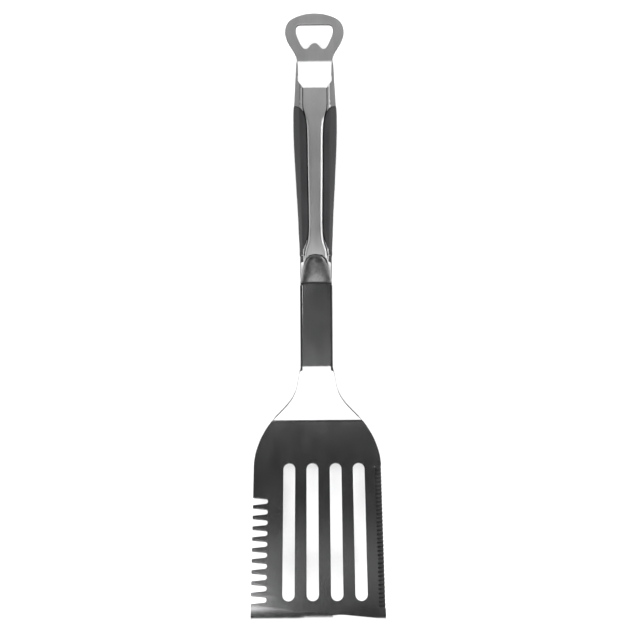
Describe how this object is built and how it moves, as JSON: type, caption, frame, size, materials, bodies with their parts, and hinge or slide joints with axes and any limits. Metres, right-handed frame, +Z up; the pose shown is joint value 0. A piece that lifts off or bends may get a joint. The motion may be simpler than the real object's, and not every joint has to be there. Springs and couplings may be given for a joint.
{
  "type": "grill spatula",
  "caption": "Long grill turner: slotted blade with a comb edge and a serrated edge, cranked neck, steel handle with soft grips, and a bottle-opener loop at the rear end.",
  "frame": {"origin": "on the table plane under the middle of the whole tool's bounding box", "axes": "+Y along the tool from the blade's front edge towards the opener loop, +Z up from the table with the tool lying on its blade heel and handle, +X to the serrated edge's side"},
  "size_m": [0.1, 0.4606, 0.0581],
  "materials": {
    "blade_steel": "satin, brushed along the tool",
    "opener_steel": "satin, fine brushing",
    "spine_steel": "satin, brushed along the tool",
    "shell_steel": "satin, brushed along the tool",
    "bolster_steel": "bead-blasted, slightly mottled",
    "rivet_steel": "as headed",
    "grip_rubber": "matt, fine grain",
    "seal_rubber": "matt",
    "carrier_plastic": "moulded",
    "core_nylon": "glass-filled, moulded",
    "plug_plastic": "moulded"
  },
  "bodies": {
    "root": {"turner_blade": "blade_steel", "bottle_opener": "opener_steel", "spine_plate": "spine_steel", "handle_upper_shell": "shell_steel", "handle_lower_shell": "shell_steel", "grip_left": "grip_rubber", "grip_right": "grip_rubber", "grip_carrier_left": "carrier_plastic", "grip_carrier_right": "carrier_plastic", "front_bolster": "bolster_steel", "core_upper": "core_nylon", "core_lower": "core_nylon", "tang_rivets": "rivet_steel", "opener_rivets": "rivet_steel", "spine_studs": "rivet_steel", "mouth_seal": "seal_rubber", "rear_end_plug": "plug_plastic"}
  },
  "joints": []
}
